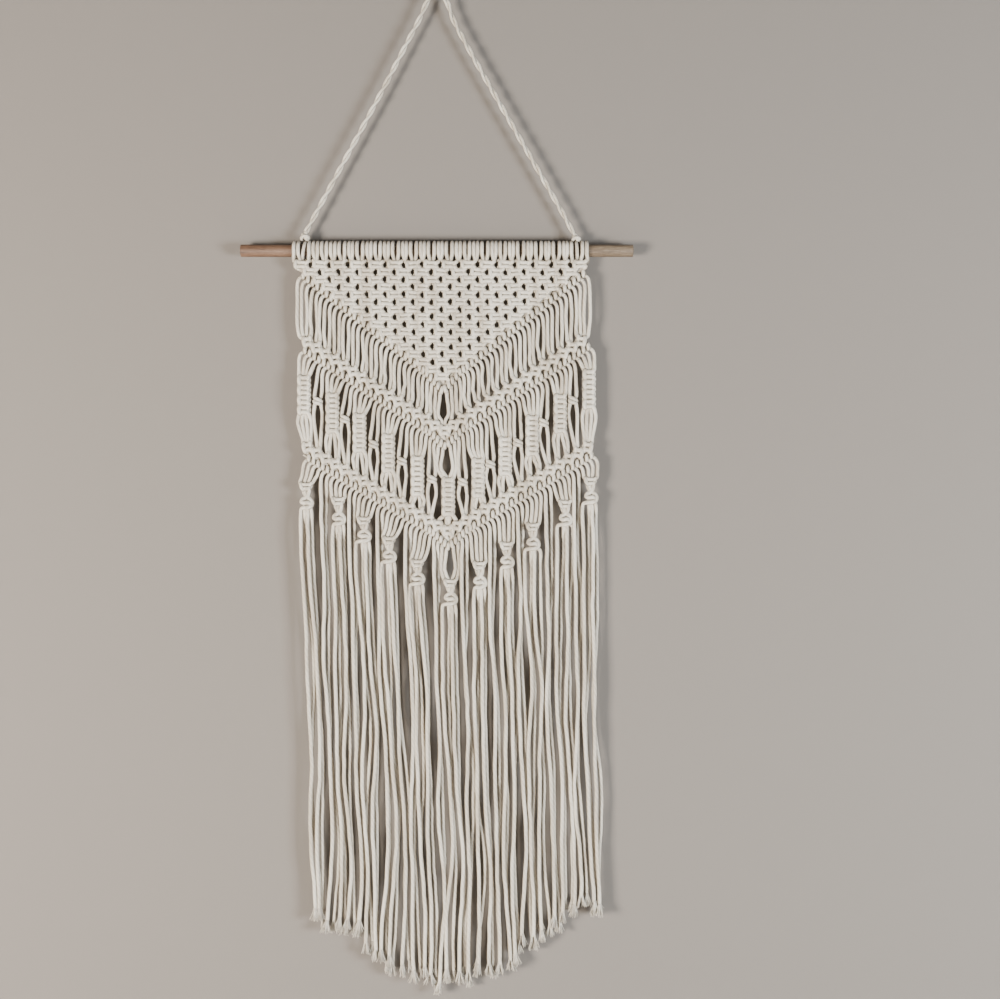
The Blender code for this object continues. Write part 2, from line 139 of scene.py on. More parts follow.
def cottonMaterial(name, plies, turns, light, dark):
    cord = Nodes(name)
    uv = cord.add("SeparateXYZ", {0: cord.add("UVMap").outputs[0]})
    place = cord.add("TexCoord").outputs["Object"]
    lean = cord.math("ADD", uv.outputs[0], cord.math("MULTIPLY", uv.outputs[1], turns))
    fuzz = cord.add("TexNoise", {"Vector": place, **cottonLook["fuzz"]}).outputs[0]
    longways = cord.add("Mapping", {"Vector": place, "Scale": cottonLook["stretch"]}).outputs[0]
    patch = cord.add("TexNoise", {"Vector": longways, **cottonLook["patch"]}).outputs[0]
    blurred = cord.weigh((lean, math.tau), (fuzz, cottonLook["blur"]))
    ply = cord.math("SINE", cord.math("MULTIPLY", blurred, plies))
    fibre = cord.math("SINE", cord.math("MULTIPLY", blurred, plies * cottonLook["fibres"]))
    height = cottonLook["height"]
    relief = cord.weigh((ply, height["ply"]), (fibre, height["fibre"]), (fuzz, height["fuzz"]))
    bump = cord.add("Bump", {"Height": relief, **cottonLook["bump"]})
    shade = cottonLook["shade"]
    # Painted shade: the grooves between plies and fibres are darker, in step with the bump; the patches
    # are the cotton's own tone.
    plyGrooveShade = cord.weigh((ply, shade["ply"]), (fibre, shade["fibre"]))
    patches = cord.math("SUBTRACT", cord.math("MULTIPLY", patch, shade["patch"]), shade["less"])
    tones = list(zip(cottonLook["tones"], (dark, light)))
    tone = cord.ramp(cord.math("ADD", plyGrooveShade, patches), tones)
    # Painted shade on the cord's sides, from how far each vertex faces the front or back.
    facingForShade = cord.math("ABSOLUTE", cord.add("Attribute", attribute_name="facingForShade").outputs["Fac"])
    sides = cord.ramp(facingForShade, cottonLook["sides"])
    both = cord.add("Mix", {0: 1.0, 6: tone, 7: sides}, data_type="RGBA", blend_type="MULTIPLY")
    return cord.finish(both.outputs[2], bump.outputs[0], cottonLook["surface"])


cotton = cottonMaterial("cotton cord", **cordLook)
cottonFray = cottonMaterial("frayed cotton", **frayLook)

# A smooth line through a cord's points. Stretches longer than "long" take the cord's own step.
curve = {"closest": 0.04, "ease": 0.5, "long": 7, "fine": 0.95}


def smooth(points, step, fine=curve["fine"]):
    points = [Vector(p) for p in points]
    times = [0.0]
    for a, b in zip(points, points[1:]):
        gap = max((b.xyz - a.xyz).length, curve["closest"])
        times.append(times[-1] + gap ** curve["ease"])
    rates = [(b - a) / (v - u) for a, b, u, v in zip(points, points[1:], times, times[1:])]
    slopes = [rates[0]]
    for i in range(1, len(points) - 1):
        before, after = times[i] - times[i - 1], times[i + 1] - times[i]
        slopes.append((rates[i - 1] * after + rates[i] * before) / (before + after))
    slopes.append(rates[-1])
    line = [points[0]]
    for i in range(len(points) - 1):
        a, b, span = points[i], points[i + 1], times[i + 1] - times[i]
        length = (b.xyz - a.xyz).length
        count = max(1, round(length / (step if length > curve["long"] else min(step, fine))))
        for k in range(1, count + 1):
            t = k / count
            line.append(
                a * (2 * t**3 - 3 * t**2 + 1)
                + slopes[i] * span * (t**3 - 2 * t**2 + t)
                + b * (3 * t**2 - 2 * t**3)
                + slopes[i + 1] * span * (t**3 - t**2)
            )
    return line


# A piece made of cords. Each vertex keeps how far its side faces the back, for the painted shade
# on the cord's sides.
class Cords:
    def __init__(self):
        self.bm = bmesh.new()
        self.uv = self.bm.loops.layers.uv.new("UVMap")
        self.facingForShade = self.bm.verts.layers.float.new("facingForShade")

    # The way across and the run that it returns carry the twist on into the strand's next piece.
    def sweep(self, line, sides, start=0, stop=None, across=None, run=0.0):
        centres = [Vector((p[0], p[1], rodZ - p[2])) * mm for p in line]
        ahead = [(b - a).normalized() for a, b in zip(centres, centres[1:])]
        ways = [ahead[0]] + [(a + b).normalized() for a, b in zip(ahead, ahead[1:])] + [ahead[-1]]
        if across is None:
            across = ways[start].orthogonal().normalized()
        rings, lengths = [], []
        for i in range(start, stop or len(line)):
            way = ways[i]
            if i > start:
                across.rotate(ways[i - 1].rotation_difference(way))
                run += (centres[i] - centres[i - 1]).length
            across = (across - way * across.dot(way)).normalized()
            other = way.cross(across)
            lengths.append(run)
            rings.append([])
            for k in range(sides):
                turn = math.tau * k / sides
                out = across * math.cos(turn) + other * math.sin(turn)
                vert = self.bm.verts.new(centres[i] + out * (line[i][3] * mm))
                # Kept for the painted shade on the cord's sides.
                vert[self.facingForShade] = out.y
                rings[-1].append(vert)
        for low, high, near, far in zip(rings, rings[1:], lengths, lengths[1:]):
            for k in range(sides):
                beside = (k + 1) % sides
                face = self.bm.faces.new((low[k], low[beside], high[beside], high[k]))
                face.smooth = True
                u, v = k / sides, (k + 1) / sides
                for loop, at in zip(face.loops, ((u, near), (v, near), (v, far), (u, far))):
                    loop[self.uv].uv = at
        self.bm.faces.new(rings[0][::-1])
        self.bm.faces.new(rings[-1])
        return across, run

    def piece(self, name, finish, slot, *nodes):
        mesh = bpy.data.meshes.new(name)
        self.bm.to_mesh(mesh)
        self.bm.free()
        mesh.materials.append(finish)
        made = bpy.data.objects.new(name, mesh)
        bpy.context.scene.collection.objects.link(made)
        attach(made, "root")
        if nodes:
            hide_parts(*nodes)
        say(f"{name}, {sum(len(p.vertices) - 2 for p in mesh.polygons)} triangles")
        return made


# The hanging cord: two cords twisted together, on the route of its solid.
hanger = {
    "route": (
        (-101.8, -183.5),
        (-87.5, -157.0),
        (-73.1, -130.3),
        (-58.5, -103.4),
        (-44.3, -77.0),
        (-24.9, -39.6),
        (-12.6, -16.0),
        (-6.9, -3.6),
        (0.0, 2.2),
        (6.9, -3.6),
        (12.8, -18.7),
        (24.5, -41.0),
        (47.5, -81.5),
        (72.7, -125.3),
        (89.5, -154.6),
        (98.4, -170.2),
        (106.9, -186.0),
    ),
    "twist": 26.4,
    "orbit": 1.05,
    "radius": 1.15,
    "step": 1.6,
    "sides": 10,
}
towardsWall = Vector((0, 1, 0))
rope = Cords()
spine = smooth([(x, 0.0, rodZ - z, 0.0) for x, z in hanger["route"]], hanger["step"])
for begin in (0.0, math.pi):
    line, run = [], 0.0
    for i, p in enumerate(spine):
        before, after = spine[max(i - 1, 0)], spine[min(i + 1, len(spine) - 1)]
        side = (after.xyz - before.xyz).normalized().cross(towardsWall)
        run += (p.xyz - before.xyz).length
        turn = begin + math.tau * run / hanger["twist"]
        at = p.xyz + hanger["orbit"] * (side * math.cos(turn) + towardsWall * math.sin(turn))
        line.append((*at, hanger["radius"]))
    rope.sweep(line, hanger["sides"])
hangerRope = rope.piece("hangerRope", cotton, "cotton", "hanger_cord")

# The cords of each knot, as (across, towards the front, down) from its middle. A square knot has its
# left half cord, two inner cords and its right half cord.
squareKnot = (
    (
        (-5.5, 0.0, -3.0),
        (-4.2, 1.2, -2.2),
        (-2.2, 2.2, -1.62),
        (1.7, 2.2, -1.58),
        (3.5, 1.2, -1.5),
        (4.1, 0.2, -0.7),
        (4.1, 0.2, 0.7),
        (3.5, 1.2, 1.5),
        (1.7, 2.2, 1.58),
        (-2.2, 2.2, 1.62),
        (-4.2, 1.0, 2.1),
        (-5.5, -0.4, 3.0),
    ),
    ((-1.4, -0.5, -2.3), (-1.4, -0.5, 1.8)),
    ((1.4, -0.5, -2.3), (1.4, -0.5, 1.8)),
    (
        (5.5, 0.8, -3.0),
        (4.4, 2.1, -2.0),
        (3.3, 1.0, -0.8),
        (2.2, -1.8, -0.7),
        (-0.2, -3.1, -1.2),
        (-2.6, -2.0, -2.1),
        (-3.5, 0.8, -2.8),
        (-4.2, 2.5, -1.7),
        (-4.4, 2.8, -0.4),
        (-4.4, 2.8, 0.5),
        (-4.1, 2.4, 1.9),
        (-3.2, 0.0, 2.8),
        (-1.4, -2.6, 2.1),
        (0.8, -3.1, 1.4),
        (2.6, -1.7, 0.8),
        (3.3, 0.9, 0.8),
        (4.3, 2.2, 1.9),
        (5.5, 1.0, 3.0),
    ),
)
pairKnot = (
    (
        (-2.6, 0.0, -4.0),
        (-1.6, 1.6, -2.6),
        (0.8, 2.2, -1.6),
        (2.6, 0.8, -0.3),
        (1.8, -1.6, 1.0),
        (-1.0, -1.8, 1.4),
        (-2.4, 0.4, 2.2),
        (-2.7, 0.2, 4.0),
    ),
    (
        (2.6, 0.0, -4.0),
        (1.8, -0.8, -2.8),
        (-0.6, -2.0, -1.9),
        (-2.6, 0.0, -1.0),
        (-2.2, 2.0, 0.5),
        (0.4, 2.6, 1.1),
        (2.3, 1.2, 2.0),
        (2.7, 0.2, 4.0),
    ),
)
turnedKnot = (
    (
        (-0.8, -0.9, -5.6),
        (1.0, 0.8, -4.6),
        (3.0, 1.3, -3.2),
        (4.3, 1.3, -1.0),
        (3.6, 1.9, 1.0),
        (0.8, 2.8, 1.9),
        (-2.6, 2.3, 2.1),
    ),
    ((-0.7, 0.5, -5.6), (-1.4, -0.9, -1.0), (-1.3, -0.8, 2.6), (-1.2, 0.0, 5.5)),
    ((0.7, -0.7, -5.6), (1.4, -1.0, -1.0), (1.0, -0.9, 2.6), (1.0, 0.0, 5.5)),
    (
        (0.9, 1.0, -5.6),
        (-0.8, 1.2, -4.3),
        (-3.0, 1.2, -3.2),
        (-3.7, 1.9, -1.7),
        (-1.6, 2.8, -1.0),
        (1.3, 2.8, -1.3),
        (2.7, 1.3, -0.5),
        (2.7, -0.4, 1.6),
    ),
)
# A hitch's turns round the core, as (along the bar, down, towards the front).
hitchTurns = (
    (0.9, -2.7, -1.3),
    (0.9, -1.2, -1.9),
    (0.8, 0.8, -1.8),
    (0.5, 2.1, -0.4),
    (0.2, 1.3, 1.6),
    (0.0, -0.2, 2.2),
    (-0.2, -1.8, 1.1),
    (-0.6, -1.9, -0.8),
    (-0.9, -0.4, -1.8),
    (-1.2, 1.4, -0.8),
    (-1.6, 2.7, 0.3),
)


def knot(place, x, drop, wide, high, deep, radius, corner, tilt=0.0, taper=0.0, flip=False):
    cord = squareKnot[len(squareKnot) - 1 - place if flip else place]
    sign = -1 if flip else 1
    outer = (0, 1, len(cord) - 2, len(cord) - 1) if len(cord) > 2 else ()
    points = []
    for k, (across, front, down) in enumerate(cord):
        spread = corner if k in outer else 1
        a, d = sign * across * spread * wide * (1 - taper * down / 3), down * high
        turnedA = a * math.cos(tilt) - d * math.sin(tilt)
        turnedD = a * math.sin(tilt) + d * math.cos(tilt)
        points.append((x + turnedA, -(front * deep), drop + turnedD, radius))
    return points


def knotCord(cord, x, drop, radius, high=1.0):
    return [(x + across, -front, drop + down * high, radius) for across, front, down in cord]


def sideOf(strand):
    return -1 if strand < middle else 1


def fromMiddle(strand):
    return abs(strand + 0.5 - middle) - 0.5


def spreadX(strand, spread):
    centre, width = spread
    return centre + ((strand + 0.5) / strands - 0.5) * width


# Each bar's ends and apex as (across, drop), how far its hitches lie under it, and the middle and
# width of its 64 strands: in its hitches, and in its chain of knots.
bars = {
    "upper": {
        "left": (-107.6, 16.0),
        "apex": (4.4, 104.8),
        "right": (116.6, 15.6),
        "below": 0.0,
        "hang": (5.0, 231.0),
    },
    "middle": {
        "left": (-108.6, 70.4),
        "apex": (5.4, 144.9),
        "right": (120.6, 69.6),
        "below": 2.9,
        "hang": (7.5, 233.6),
        "knots": (5.7, 226.4),
    },
    "lower": {
        "left": (-109.0, 152.6),
        "apex": (8.6, 222.7),
        "right": (125.4, 152.6),
        "below": 2.9,
        "hang": (10.2, 233.0),
        "knots": (8.2, 231.8),
    },
}


def barAt(bar, x):
    apexX, apexDrop = bars[bar]["apex"]
    endX, endDrop = bars[bar]["left" if x < apexX else "right"]
    slope = (apexDrop - endDrop) / abs(apexX - endX)
    return apexDrop - abs(apexX - x) * slope, slope


# Small differences between the strands, from twelve draws each, of which these nine are used.
uneven = {
    "seed": 11,
    "draws": 12,
    "names": (
        "upper",
        "middle",
        "lower",
        "loopGap",
        "upperBack",
        "pull",
        "stray",
        "middleBack",
        "lowerBack",
    ),
    "hang": 0.3,
}
dice = random.Random(uneven["seed"])
wobble = []
for _ in range(strands):
    draws = [dice.uniform(-1, 1) for _ in range(uneven["draws"])]
    wobble.append(dict(zip(uneven["names"], draws)))


def hangX(strand, bar):
    return spreadX(strand, bars[bar]["hang"]) + uneven["hang"] * wobble[strand][bar]


# A hitch starts on the apex side of the place where its strand hangs. The innermost ones start
# nearer to it, lie lower and are narrow.
hitches = {
    "radius": 1.5,
    "lean": 0.35,
    "inward": 5.0,
    "least": 0.1,
    "full": 6,
    "apexDrop": 4.2,
    "apexStrands": 4,
    "narrow": 0.4,
}


def hitchOn(strand, bar):
    share = min(1, fromMiddle(strand) / hitches["full"])
    inward = hitches["inward"] * (hitches["least"] + (1 - hitches["least"]) * share)
    side = sideOf(strand)
    x = spreadX(strand, bars[bar]["hang"]) - side * inward
    drop, slope = barAt(bar, x)
    near = max(0, 1 - fromMiddle(strand) / hitches["apexStrands"])
    drop = drop + bars[bar]["below"] + hitches["apexDrop"] * near
    narrow = hitches["narrow"] if fromMiddle(strand) < 1 else 1.0
    angle = math.atan(slope)
    along = (-side * math.cos(angle), math.sin(angle))
    down = side * math.sin(angle) * hitches["lean"]
    return [
        (x + a * narrow * along[0] + d * down, -front, drop + a * along[1] + d, hitches["radius"])
        for a, d, front in hitchTurns
    ]


# The chain of square knots over a bar's hitches. Each strand passes two of them, the outer one
# first, but the two innermost strands pass the middle knot first.
chain = {
    "drop": -4.8,
    "tilt": 0.16,
    "last": strands // 2 - 2,
    "centre": strands // 4 - 1,
    "towardsHang": 0.5,
    "startUp": 0.4,
    "knot": {"wide": 0.64, "high": 1.32, "deep": 0.92, "radius": 1.76, "corner": 0.8},
}


def barKnots(strand, bar):
    pair = strand // 2
    order = [pair - 1, pair] if strand < middle else [pair, pair - 1]
    if fromMiddle(strand) < 1:
        order.reverse()
    points = []
    for k in order:
        if 0 <= k <= chain["last"]:
            x = spreadX(2 * k + 1.5, bars[bar]["knots"])
            drop = barAt(bar, x)[0] + chain["drop"]
            right = k > chain["centre"]
            tilt = chain["tilt"] * (right - (k < chain["centre"]))
            points += knot(strand - 2 * k, x, drop, **chain["knot"], tilt=tilt, flip=right)
    points.pop()  # the hitch under it begins there
    if fromMiddle(strand) < 1:
        return points[:2] + points[4:]  # straight from the middle knot into the next one's turns
    if bar == "middle":
        x, y, drop, radius = points[0]
        hang = spreadX(strand, bars["upper"]["hang"])
        points[0] = (x + chain["towardsHang"] * (hang - x), y, drop - chain["startUp"], radius)
    return points


# The loops over the dowel, two strands to a loop, between the hanging cord's two ties. An angle is
# 0 under the dowel, -90 in front of it and -180 on top.
loops = {
    "left": -112.0,
    "right": 117.5,
    "tie": 4.1,
    "gap": 0.38,
    "uneven": 0.36,
    "legs": (0.26, 0.74),
    "orbit": 6.4,
    "back": 10.4,
    "over": (-60, -90, -125, -180, -230, -275),
    "radius": 1.52,
}
loopWidth = (loops["right"] - loops["left"] - 2 * loops["tie"]) / (strands / 2)


def rodX(strand):
    pair = strand // 2
    ties = loops["tie"] * ((pair > 0) + (pair > strands // 2 - 2))
    gap = loops["gap"] + loops["uneven"] * wobble[strand // 4]["loopGap"]
    part = -gap if strand % 4 < 2 else gap
    leg = loops["legs"][strand % 2] * loopWidth
    return loops["left"] + ties + pair * loopWidth + leg + part


def roundRod(x, angle, orbit):
    turn = math.radians(angle)
    return (x, orbit * math.sin(turn), orbit * math.cos(turn), loops["radius"])


# From the loop's bar behind the dowel, forward under it, up its front, over it and down its back.
def loopLeg(strand):
    x, out = rodX(strand), -1 if strand % 2 == 0 else 1
    mid = (rodX(strand - strand % 2) + rodX(strand - strand % 2 + 1)) / 2
    orbit, back = loops["orbit"], loops["back"]
    return [
        roundRod(mid, 38, back),
        roundRod(x, 32, back - 0.3),
        roundRod(x + 0.9 * out, 8, orbit + 1.6),
        roundRod(x + 0.6 * out, -25, orbit),
        *[roundRod(x, angle, orbit) for angle in loops["over"]],
        roundRod(x - 0.3 * out, -318, orbit),
        (x - 0.4 * out, 2.6, 7.4, loops["radius"]),
    ]


# The pointed net of square knots, whose rows get shorter downwards. The jitter is across, down and
# in the tilt.
net = {
    "left": -112.6,
    "pitch": 7.2,
    "row": 5.79,
    "first": 11.0,
    "lean": 0.0145,
    "jitter": (0.3, 0.25, 0.08),
    "knot": {"wide": 1.0, "high": 1.0, "deep": 0.85, "radius": 1.62, "corner": 1.04},
}


def netKnots(strand):
    points = []
    for row in range(1, min(strand // 2, (strands - 1 - strand) // 2) + 2):
        column, place = divmod(strand - 2 * (row - 1), 4)
        drop = net["first"] + (row - 1) * net["row"]
        x = net["left"] + net["pitch"] * (row + 2 * column) + net["lean"] * drop
        jitter = random.Random(100 * row + column)
        across, down, tilt = [jitter.uniform(-most, most) for most in net["jitter"]]
        points += knot(place, x + across, drop + down, **net["knot"], tilt=tilt)
    if strand % 4 in (0, 3):
        points.pop()  # a half cord's last point would meet the hitch
    return points


# Braids of four square knots as (across, top, length), the two-strand knots between them as
# (across, drop), and the heads of the fringe as (across, drop of the upper knot, drop from there to
# the lower knot, loose arch on the left, loose arch on the right).
braids = (
    (-103.2, 97.0, 30.7),
    (-81.1, 110.6, 31.6),
    (-60.1, 126.6, 30.4),
    (-37.7, 142.5, 30.0),
    (-15.1, 159.6, 31.5),
    (8.9, 176.4, 30.2),
    (32.2, 161.4, 30.7),
    (53.1, 144.9, 30.0),
    (74.1, 128.1, 31.7),
    (95.9, 111.6, 30.3),
    (118.3, 92.4, 30.8),
)
pairKnots = (
    (-92.6, 117.6),
    (-71.6, 131.6),
    (-49.2, 151.1),
    (-27.2, 164.3),
    (-3.9, 178.3),
    (20.0, 180.4),
    (41.5, 166.6),
    (62.9, 150.0),
    (82.9, 134.4),
    (105.7, 117.0),
)
clusters = (
    (-101.7, 183.4, 12.7, 0, 0),
    (-76.6, 194.9, 13.6, 0, 0),
    (-56.8, 210.1, 11.8, 1, 0),
    (-37.2, 225.4, 12.4, 1, 0),
    (-15.2, 243.3, 11.8, 1, 0),
    (10.3, 258.5, 12.2, 1, 0),
    (33.1, 244.8, 13.1, 0, 0),
    (54.2, 229.7, 12.4, 0, 0),
    (74.4, 214.9, 13.0, 1, 1),
    (99.6, 197.1, 11.9, 1, 1),
    (119.4, 179.3, 12.6, 1, 0),
)

# The radius of a strand where it hangs free between the knots.
hangRadius = 1.44


# Strands go by sixes: four to a braid and to a head of the fringe, and two to a two-strand knot.
def groupOf(strand):
    group, place = divmod(strand, 6)
    return group, place, place < 4


# Below a hitch a strand arches over: shares of the way back to where it hangs, with their drops.
arches = {"near": 0.52, "nearFront": 1.2, "nearDrop": 1.3, "far": 0.06, "farDrop": 5.2}


def arch(strand, bar, x, y):
    leaveX, _, leaveDrop, _ = hitchOn(strand, bar)[-1]
    shift, front = leaveX - x, y * 0.5 - arches["nearFront"]
    return leaveDrop, [
        (x + arches["near"] * shift, front, leaveDrop + arches["nearDrop"], hangRadius),
        (x + arches["far"] * shift, y, leaveDrop + arches["farDrop"], hangRadius),
    ]


# The strands part round an opening under each apex.
def teardrop(strand, wide):
    return sideOf(strand) * wide * max(0, 1 - fromMiddle(strand) / hitches["apexStrands"])


# The strands between the upper and the middle bar.
upperHang = {
    "opening": 2.2,
    "back": 0.5,
    "pull": 0.75,
    "stray": 0.4,
    "below": 6.0,
    "above": 5.0,
    "tight": 6,
    "close": 1.7,
    "closeBack": 0.3,
}


def underUpper(strand):
    y = upperHang["back"] * wobble[strand]["upperBack"]
    part = teardrop(strand, upperHang["opening"])
    x = hangX(strand, "upper")
    drop, points = arch(strand, "upper", x + 0.5 * part, y)
    begin = drop + upperHang["below"]
    end = barKnots(strand, "middle")[0]
    pull = upperHang["pull"] * (1 if strand % 2 == 0 else -1) * wobble[strand // 2]["pull"]
    stray = upperHang["stray"] * wobble[strand]["stray"]
    low = end[2] - upperHang["above"]
    room = low - drop - upperHang["below"]
    if room > upperHang["tight"]:
        points.append((x + 0.9 * part + pull, y, begin + room * 0.4, hangRadius))
        points.append((x + part + pull + stray, y, begin + room * 0.75, hangRadius))
    if fromMiddle(strand) < 1:
        hang = bars["upper"]["hang"]
        mid = (spreadX(middle - 1, hang) + spreadX(middle, hang)) / 2
        closeX = mid + upperHang["close"] * sideOf(strand)
        points.append((closeX, upperHang["closeBack"], low, hangRadius))
    elif room > 0:
        points.append((x + (end[0] - x) * 0.25 + 0.6 * part, y * 0.5, low, hangRadius))
    return points


# The braids and two-strand knots between the middle and the lower bar.
braid = {
    "opening": 2.8,
    "back": 0.4,
    "knots": 4,
    "knotHeight": 6.6,
    "begin": 3.5,
    "inner": (-3.6, -1.2, 1.2, 3.6),
    "swell": (-5.2, -1.8, 1.8, 5.2),
    "knot": {"wide": 0.84, "deep": 0.9, "radius": 1.84, "corner": 0.8},
    "pairRadius": 1.55,
    "pairHalf": 4,
    "pairIn": 3.2,
    "pairOut": 3.4,
}


def underMiddle(strand):
    y = braid["back"] * wobble[strand]["middleBack"]
    part = teardrop(strand, braid["opening"])
    x = hangX(strand, "middle")
    drop, points = arch(strand, "middle", x + 0.5 * part, y)
    group, place, four = groupOf(strand)
    end = barKnots(strand, "lower")[0]
    if four:
        braidX, top, length = braids[group]
        step = length / braid["knots"]
        gap = top - braid["begin"] - drop
        if gap < 8:  # too close for the whole arch
            points = points[:1]
        if gap > 11:  # far enough to turn inwards on the way
            inX = x + (braidX + braid["inner"][place] - x) * 0.15 + part
            points.append((inX, y, top - 3.2 - min(4.2, gap * 0.3), hangRadius))
        for k in range(braid["knots"]):
            at = top + length * (k + 0.5) / braid["knots"]
            points += knot(place, braidX, at, **braid["knot"], high=step / braid["knotHeight"])
        below = top + length
        swell = braid["swell"][place]
        outX = braidX + swell
        room = end[2] - below
        if room > 9:  # the strands bow apart under the braid
            midX = braidX + swell * 1.05 + 0.35 * (end[0] - braidX - swell)
            points.append((outX, -y, below + 2.5 + room * 0.12, hangRadius))
            points.append((midX, -y, below + room * 0.5, hangRadius))
            points.append((end[0] + 0.15 * (outX - end[0]), -y, end[2] - room * 0.14, hangRadius))
    else:
        knotX, level = pairKnots[group]
        way = -1 if place == 4 else 1
        gap = level - braid["pairHalf"] - drop
        if gap < 7:  # too close for the whole arch
            points = points[:1]
        if gap > 14:  # far enough to turn inwards on the way
            inX = x * 0.6 + 0.4 * (knotX + way * braid["pairIn"])
            points.append((inX, y, drop + 6 + (gap - 6) * 0.5, hangRadius))
        points += knotCord(pairKnot[place - 4], knotX, level, braid["pairRadius"])
        below = level + braid["pairHalf"]
        room = end[2] - level - braid["pairHalf"]
        if room > 8:  # the two strands bow apart under their knot
            outX = knotX + way * braid["pairOut"]
            points.append((outX, -y, below + min(6, room * 0.35), hangRadius))
        if room > 14:
            midX = (knotX + way * 3.0 + end[0]) / 2
            points.append((midX, -y, below + room * 0.7, hangRadius))
    return points


# The fringe: "ends" gives (across, drop) along its lower edge, and "drift" gives (drop, middle,
# width) of the 64 strands further down. A wave is (size, drop in which it turns by a radian).
fringe = {
    "ends": (
        (-104.0, 522.0),
        (-71.6, 534.6),
        (-48.2, 553.3),
        (-28.8, 568.9),
        (8.6, 579.8),
        (29.6, 573.5),
        (56.8, 559.5),
        (76.2, 545.0),
        (100.0, 525.3),
        (132.0, 516.0),
    ),
    "drift": ((230.0, 10.2, 233.0), (350.0, 14.3, 226.5), (490.0, 15.9, 229.5), (580.0, 15.9, 231.5)),
    "seed": 7,
    "strandSeed": 900,
    "groupSeed": 70,
    "pairSeed": 300,
    "opening": 2.5,
    "back": 0.3,
    "layer": 1.5,
    "scatter": 13.0,
    "tuft": 8.0,
    "every": 11.0,
    "settle": 110,
    "grow": 90,
    "groupWaves": ((1.4, 37.0), (0.5, 16.0)),
    "strandWave": (0.8, 29.0),
    "pairWaves": (18.0, 34.0),
    "jitter": 0.3,
    "strayFrom": 0.7,
    "stray": 8.0,
    "radius": 1.55,
    "tip": 1.25,
    "tipStep": 1.5,
}

# The heads of the fringe: an upper square knot and a lower turned knot, from which two strands arch.
head = {
    "inner": (-4.8, -1.6, 1.6, 4.8),
    "begin": 3.5,
    "upper": {"wide": 0.84, "high": 0.98, "deep": 0.95, "radius": 1.5, "corner": 0.8, "taper": 0.34},
    "lower": {"radius": 1.75, "high": 1.22},
    "shift": 0.3,
    "arch": 4.3,
    "looseArch": 6.3,
    "hold": 8,
    "pairHold": 14,
}


def readTable(table, at, column):
    if at <= table[0][0]:
        return table[0][column]
    for low, high in zip(table, table[1:]):
        if at <= high[0]:
            share = (at - low[0]) / (high[0] - low[0])
            return low[column] + share * (high[column] - low[column])
    return table[-1][column]


def fringeX(strand, at):
    share = (strand + 0.5) / strands - 0.5
    return readTable(fringe["drift"], at, 1) + share * readTable(fringe["drift"], at, 2)


# Each strand takes two draws, and the first of them shortens it.
fringeDice = random.Random(fringe["seed"])
ends = []
for strand in range(strands):
    share = (strand + 0.5) / strands - 0.5
    rest = fringe["drift"][-1][1] + share * fringe["drift"][-1][2]
    shorter = fringeDice.uniform(0, fringe["scatter"])
    fringeDice.random()
    ends.append(readTable(fringe["ends"], rest, 1) - shorter - fringe["tuft"])


def underLower(strand):
    y = fringe["back"] * wobble[strand]["lowerBack"]
    part = teardrop(strand, fringe["opening"])
    x = hangX(strand, "lower")
    drop, points = arch(strand, "lower", x + 0.5 * part, y)
    group, place, four = groupOf(strand)
    if four:
        headX, upper, apart, left, right = clusters[group]
        gap = upper - head["begin"] - drop
        if gap < 7.5:  # too close for the whole arch
            points = points[:1]
        if gap > 10:  # far enough to turn inwards on the way
            inX = x + (headX + head["inner"][place] - x) * 0.35 + part
            points.append((inX, y, upper - head["begin"] - gap * 0.3, hangRadius))
        points += knot(place, headX, upper, **head["upper"])
        low = upper + apart + 0.5
        points += knotCord(turnedKnot[place], headX + head["shift"], low + 0.8, **head["lower"])
        if place in (0, 3):
            way = -1 if place == 0 else 1
            out = head["looseArch"] if (left if place == 0 else right) else head["arch"]
            points.append((headX + way * out * 0.88, -0.8, low + 4.3, hangRadius))
            points.append((headX + way * out, -0.3, low + 8.0, hangRadius))
        hold, begin = points[-1][0], points[-1][2] + head["hold"]
    else:
        hold, begin = x, drop + head["pairHold"]
    return points + fringeLine(strand, four, hold, begin)


# A hanging strand's waves are its own, its group's and its pair's, and they grow downwards.
def fringeLine(strand, four, hold, begin):
    own = random.Random(fringe["strandSeed"] + strand)
    ownTurn, strayTurn, _ = [own.uniform(0, math.tau) for _ in range(3)]
    company = random.Random(fringe["groupSeed"] + strand // 6 * 2 + (not four))
    turns = [company.uniform(0, math.tau) for _ in fringe["groupWaves"]]
    mate = random.Random(fringe["pairSeed"] + strand // 2)
    pairTurn, pairLength = mate.uniform(0, math.tau), mate.uniform(*fringe["pairWaves"])
    ownSize, ownLength = fringe["strandWave"]
    jitter, radius = fringe["jitter"], fringe["radius"]
    layer = fringe["layer"] if strand % 2 else -fringe["layer"]
    points = []
    count = round((ends[strand] - begin) / fringe["every"])
    for k in range(count + 1):
        along = k / count
        at = begin + (ends[strand] - begin) * along
        x = fringeX(strand, at)
        x += (hold - x) * math.exp(-(at - begin) / fringe["settle"])
        grow = min(1, (at - begin) / fringe["grow"])
        waves = zip(turns, fringe["groupWaves"])
        x += sum(grow * size * math.sin(turn + at / length) for turn, (size, length) in waves)
        x += grow * ownSize * math.sin(ownTurn + at / ownLength) + own.uniform(-jitter, jitter)
        close = 0.5 + 0.5 * math.sin(pairTurn + at / pairLength)
        x += grow * (1.5 - 3.0 * (strand % 2)) * close
        x += max(0, along - fringe["strayFrom"]) * fringe["stray"] * math.sin(strayTurn)
        points.append((x, layer + own.uniform(-jitter, jitter), at, radius))
    x, y, at, _ = points[-1]
    step = fringe["tipStep"]
    points[-1] = (x + (points[-2][0] - x) * step / fringe["every"], y, at - step, radius)
    points.append((x, y, at, fringe["tip"]))
    return points


